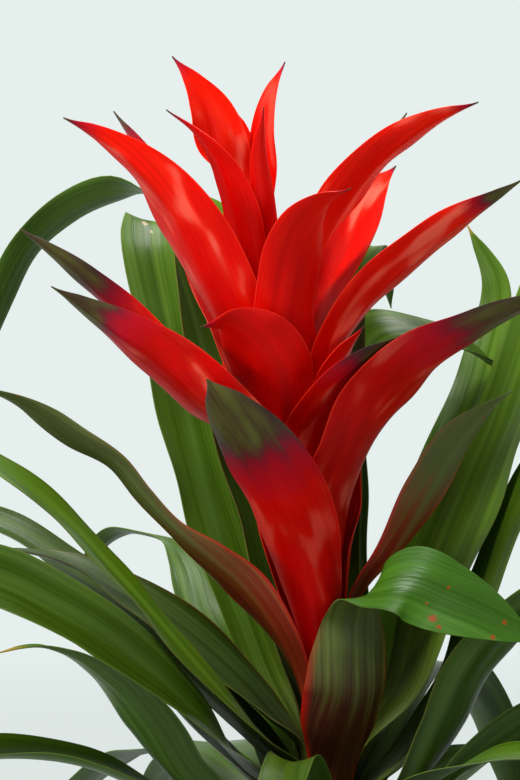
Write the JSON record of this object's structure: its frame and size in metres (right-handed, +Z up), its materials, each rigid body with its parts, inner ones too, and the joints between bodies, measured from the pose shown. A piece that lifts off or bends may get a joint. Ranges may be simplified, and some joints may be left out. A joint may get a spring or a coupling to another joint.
{
  "type": "guzmania bromeliad",
  "caption": "Guzmania bromeliad in flower: an upright head of pointed scarlet bracts over a rosette of arching strap leaves, cut flat across its base.",
  "frame": {"origin": "centre of the flat cut across the base of the stem, where the plant stands", "axes": "+Z up along the base of the stem, +X to the right and +Y away for someone who looks at the front of the flower head"},
  "size_m": [0.5167, 0.4448, 0.3774],
  "materials": {
    "bract": "satin, waxy petal-like bract, olive brown at the tips of the lower ones",
    "bract_leaf": "satin leaf, red brown at its base and olive green further out",
    "leaf": "satin, fleshy strap leaf",
    "stem": "matt, fleshy stem"
  },
  "bodies": {
    "root": {"stem": "stem", "bract_back_left_low": "bract", "bract_front_low": "bract", "bract_back_right_low": "bract", "bract_stalk": "bract", "bract_left_olive": "bract", "bract_right_long_low": "bract", "bract_back_low": "bract", "bract_left_folded": "bract", "bract_right_folded": "bract", "bract_front_cup": "bract", "bract_left_rear": "bract", "bract_right_filler": "bract", "bract_right_long": "bract", "bract_right_rear": "bract", "bract_mid_right": "bract", "bract_left_large": "bract", "bract_right_pale": "bract", "bract_right_upper": "bract", "bract_top_rear": "bract", "bract_top_narrow": "bract", "bract_top_small": "bract", "bract_top_left": "bract", "bract_top_right": "bract", "leaf_bract_right": "bract_leaf", "leaf_bract_left": "bract_leaf", "leaf_bract_front": "bract_leaf", "leaf_rear_right": "leaf", "leaf_rear_brown": "leaf", "leaf_left_dark": "leaf", "leaf_back_left_broad": "leaf", "leaf_right_broad": "leaf", "leaf_back_thin_arch": "leaf", "leaf_left_bright": "leaf", "leaf_back_right_upright": "leaf", "leaf_left_shade_upper": "leaf", "leaf_right_pale": "leaf", "leaf_left_striped": "leaf", "leaf_back_left_arch": "leaf", "leaf_right_front": "leaf", "leaf_front_fold": "leaf", "leaf_left_shade_lower": "leaf", "leaf_right_front_low": "leaf", "leaf_back_left_low": "leaf", "leaf_right_low": "leaf", "leaf_left_short": "leaf", "leaf_left_floor": "leaf", "leaf_back_right_low": "leaf", "leaf_back_middle": "leaf", "leaf_front_hidden": "leaf", "leaf_back_left_outer": "leaf", "leaf_right_hidden": "leaf", "leaf_back_right_outer": "leaf", "leaf_floor_back": "leaf", "leaf_floor_right": "leaf", "leaf_floor_front": "leaf"}
  },
  "joints": []
}
